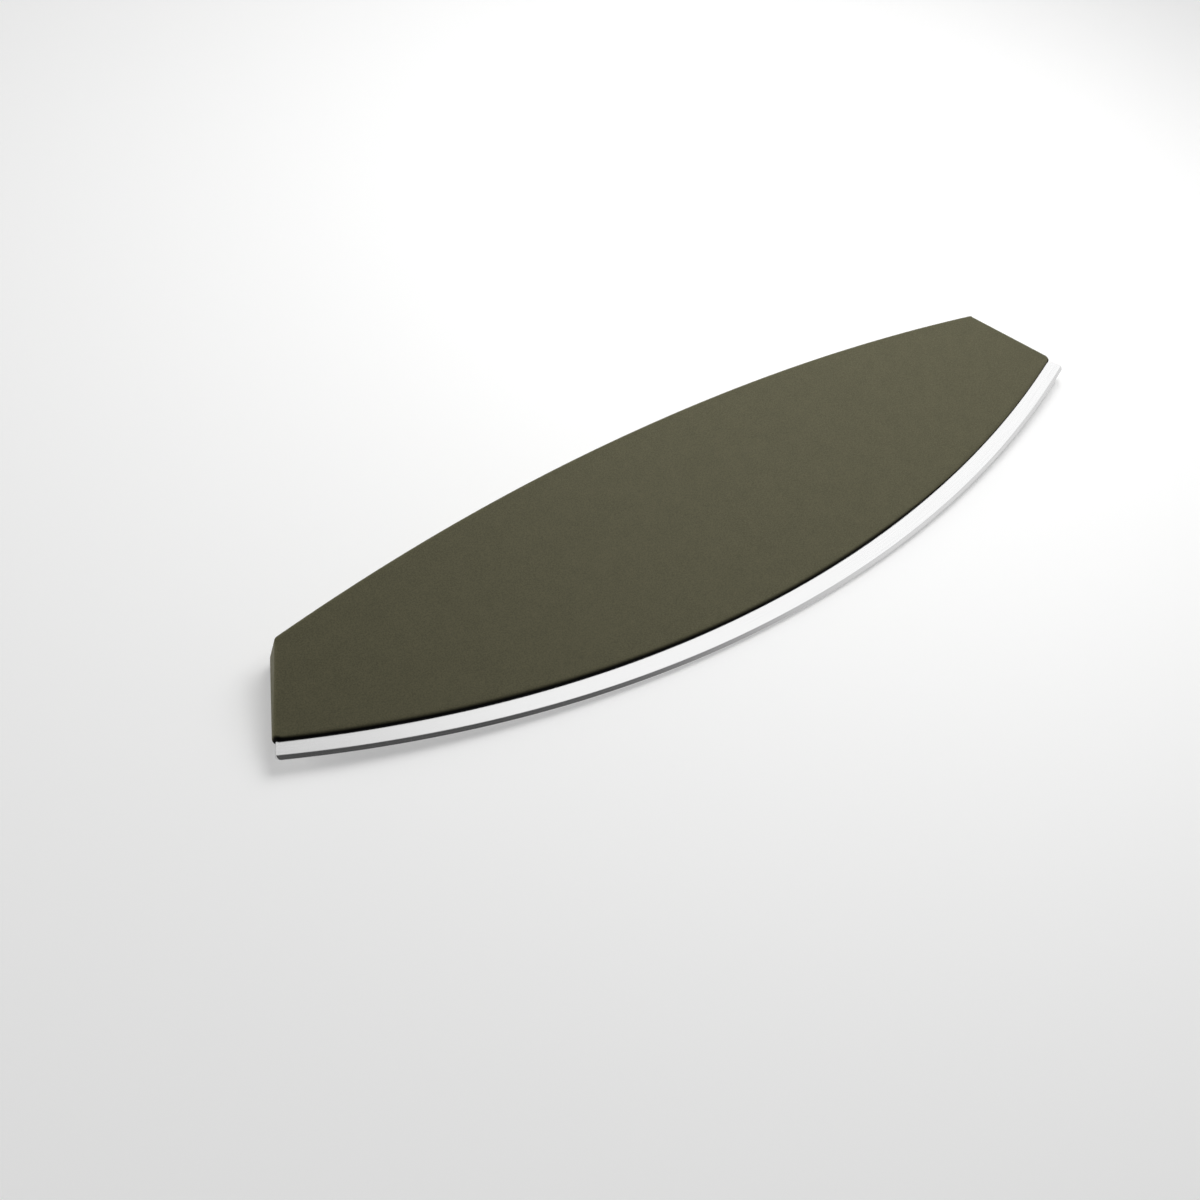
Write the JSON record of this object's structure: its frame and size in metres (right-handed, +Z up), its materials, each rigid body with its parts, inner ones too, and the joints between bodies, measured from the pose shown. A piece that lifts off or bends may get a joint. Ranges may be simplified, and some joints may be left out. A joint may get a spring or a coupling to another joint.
{
  "type": "rocking pizza knife",
  "caption": "Rocking pizza and herb knife: a curved steel blade held along its whole length between two wedge-shaped moulded handle shells.",
  "frame": {"origin": "in the flat middle stretch of the rear face that the knife lies on, at mid-length, straight below the line that joins the handle's two lower corners", "axes": "+X along the knife, +Y from the cutting edge to the grip, +Z up, out of the front face; the blade's mid-plane is turned 5.9 degrees about +X from the XY plane because the handle is a wedge"},
  "size_m": [0.3696, 0.0854, 0.0197],
  "materials": {
    "blade_steel": "stainless steel, brushed along its length, ground bevel along the edge",
    "handle_plastic": "fine matte grain, dark olive green",
    "pin_steel": "turned steel",
    "seal_rubber": "smooth black"
  },
  "bodies": {
    "root": {"blade": "blade_steel", "front_shell": "handle_plastic", "rear_shell": "handle_plastic", "dowel_pins": "pin_steel", "blade_seal": "seal_rubber"}
  },
  "joints": []
}
